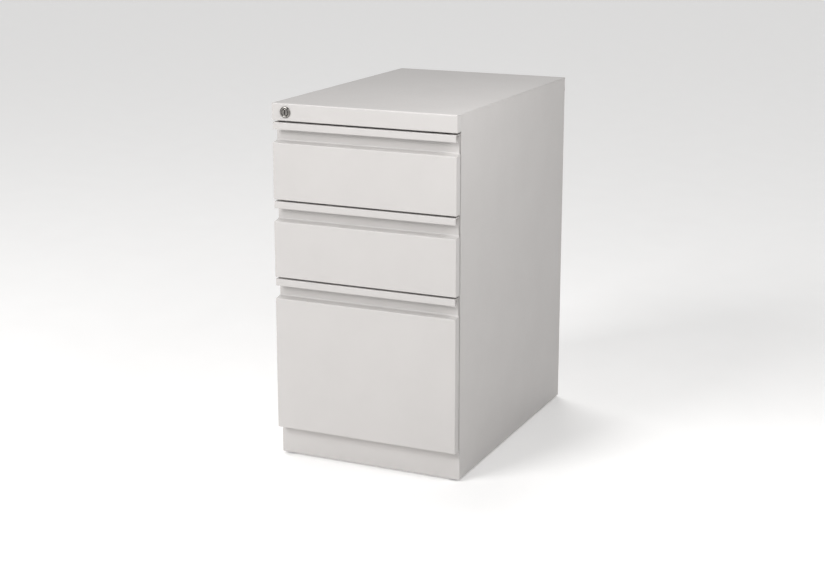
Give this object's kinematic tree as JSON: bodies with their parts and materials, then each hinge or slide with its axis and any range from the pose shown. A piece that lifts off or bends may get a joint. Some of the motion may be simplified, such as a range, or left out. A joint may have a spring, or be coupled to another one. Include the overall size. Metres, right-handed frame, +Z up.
{
  "type": "filing cabinet",
  "caption": "Lockable sheet-steel pedestal filing cabinet: shallow drawers over a deep file drawer, full-width finger pulls, telescopic slides and a cam lock that lifts a locking bar.",
  "frame": {"origin": "on the floor at the middle of the bounding box's footprint", "axes": "+Z up, drawers open towards -Y, +X to the right for someone in front of the drawers"},
  "size_m": [0.381, 0.585, 0.705],
  "materials": {
    "shell_paint": "light warm-grey powder coat, satin with a fine orange peel",
    "inner_paint": "light warm-grey powder coat, thinner and flatter inside",
    "zinc_steel": "bright zinc-plated steel",
    "dark_steel": "dark phosphated steel",
    "lock_nickel": "nickel-plated zinc die casting",
    "black_nylon": "matte black nylon",
    "white_nylon": "matte natural nylon"
  },
  "bodies": {
    "cabinet": {"top_cap": "shell_paint", "left_side_panel": "shell_paint", "right_side_panel": "shell_paint", "back_panel": "shell_paint", "toe_kick_plate": "shell_paint", "base_pan": "inner_paint", "front_left_upright": "inner_paint", "front_right_upright": "inner_paint", "rear_left_upright": "inner_paint", "rear_right_upright": "inner_paint", "glide_feet": "black_nylon", "glide_stems": "zinc_steel", "glide_nuts": "zinc_steel", "glide_brackets": "dark_steel", "counterweight": "dark_steel", "counterweight_bolts": "zinc_steel", "lock_housing": "lock_nickel", "lock_nut": "zinc_steel", "lock_bar_guides": "white_nylon", "slide_screws": "zinc_steel", "top_slide_outer_left": "zinc_steel", "top_slide_outer_right": "zinc_steel", "middle_slide_outer_left": "zinc_steel", "middle_slide_outer_right": "zinc_steel", "file_slide_outer_left": "zinc_steel", "file_slide_outer_right": "zinc_steel"},
    "lock_plug": {"lock_plug": "lock_nickel", "lock_cam": "zinc_steel"},
    "lock_bar": {"lock_bar": "zinc_steel", "lock_bar_hooks": "zinc_steel"},
    "top_cages": {"top_slide_ball_cages": "dark_steel"},
    "middle_cages": {"middle_slide_ball_cages": "dark_steel"},
    "file_middle_members": {"file_slide_middle_left": "zinc_steel", "file_slide_middle_right": "zinc_steel"},
    "file_outer_cages": {"file_slide_outer_ball_cages": "dark_steel"},
    "file_inner_cages": {"file_slide_inner_ball_cages": "dark_steel"},
    "top_drawer": {"top_drawer_front": "shell_paint", "top_drawer_inner_panel": "inner_paint", "top_drawer_body": "inner_paint", "top_drawer_back": "inner_paint", "top_drawer_bumpers": "white_nylon", "top_drawer_lock_catch": "zinc_steel", "top_slide_inner_left": "zinc_steel", "top_slide_inner_right": "zinc_steel"},
    "middle_drawer": {"middle_drawer_front": "shell_paint", "middle_drawer_inner_panel": "inner_paint", "middle_drawer_body": "inner_paint", "middle_drawer_back": "inner_paint", "middle_drawer_bumpers": "white_nylon", "middle_drawer_lock_catch": "zinc_steel", "middle_slide_inner_left": "zinc_steel", "middle_slide_inner_right": "zinc_steel"},
    "file_drawer": {"file_drawer_front": "shell_paint", "file_drawer_inner_panel": "inner_paint", "file_drawer_body": "inner_paint", "file_drawer_back": "inner_paint", "file_drawer_bumpers": "white_nylon", "file_drawer_lock_catch": "zinc_steel", "file_slide_inner_left": "zinc_steel", "file_slide_inner_right": "zinc_steel"}
  },
  "joints": [
    {"name": "top_drawer_slide", "type": "slide", "parent": "cabinet", "child": "top_drawer", "axis": [0, -1, 0], "range_m": [0, 0.38]},
    {"name": "middle_drawer_slide", "type": "slide", "parent": "cabinet", "child": "middle_drawer", "axis": [0, -1, 0], "range_m": [0, 0.38]},
    {"name": "file_drawer_slide", "type": "slide", "parent": "cabinet", "child": "file_drawer", "axis": [0, -1, 0], "range_m": [0, 0.5]},
    {"name": "lock_bar_lift", "type": "slide", "parent": "cabinet", "child": "lock_bar", "axis": [0, 0, 1], "range_m": [0, 0.01131]},
    {"name": "lock_turn", "type": "hinge", "parent": "cabinet", "child": "lock_plug", "pos_m": [-0.1605, -0.2885, 0.6883], "axis": [0, 1, 0], "range_deg": [0, 90]},
    {"name": "top_cages_slide", "type": "slide", "parent": "cabinet", "child": "top_cages", "axis": [0, -1, 0], "range_m": [0, 0.19]},
    {"name": "middle_cages_slide", "type": "slide", "parent": "cabinet", "child": "middle_cages", "axis": [0, -1, 0], "range_m": [0, 0.19]},
    {"name": "file_middle_members_slide", "type": "slide", "parent": "cabinet", "child": "file_middle_members", "axis": [0, -1, 0], "range_m": [0, 0.25]},
    {"name": "file_outer_cages_slide", "type": "slide", "parent": "cabinet", "child": "file_outer_cages", "axis": [0, -1, 0], "range_m": [0, 0.125]},
    {"name": "file_inner_cages_slide", "type": "slide", "parent": "cabinet", "child": "file_inner_cages", "axis": [0, -1, 0], "range_m": [0, 0.375]}
  ],
  "couplings": [
    {"joint": "lock_turn", "follows": "lock_bar_lift", "rad_per_m": 138.84},
    {"joint": "top_cages_slide", "follows": "top_drawer_slide", "ratio": 0.5},
    {"joint": "middle_cages_slide", "follows": "middle_drawer_slide", "ratio": 0.5},
    {"joint": "file_middle_members_slide", "follows": "file_drawer_slide", "ratio": 0.5},
    {"joint": "file_outer_cages_slide", "follows": "file_drawer_slide", "ratio": 0.25},
    {"joint": "file_inner_cages_slide", "follows": "file_drawer_slide", "ratio": 0.75}
  ]
}
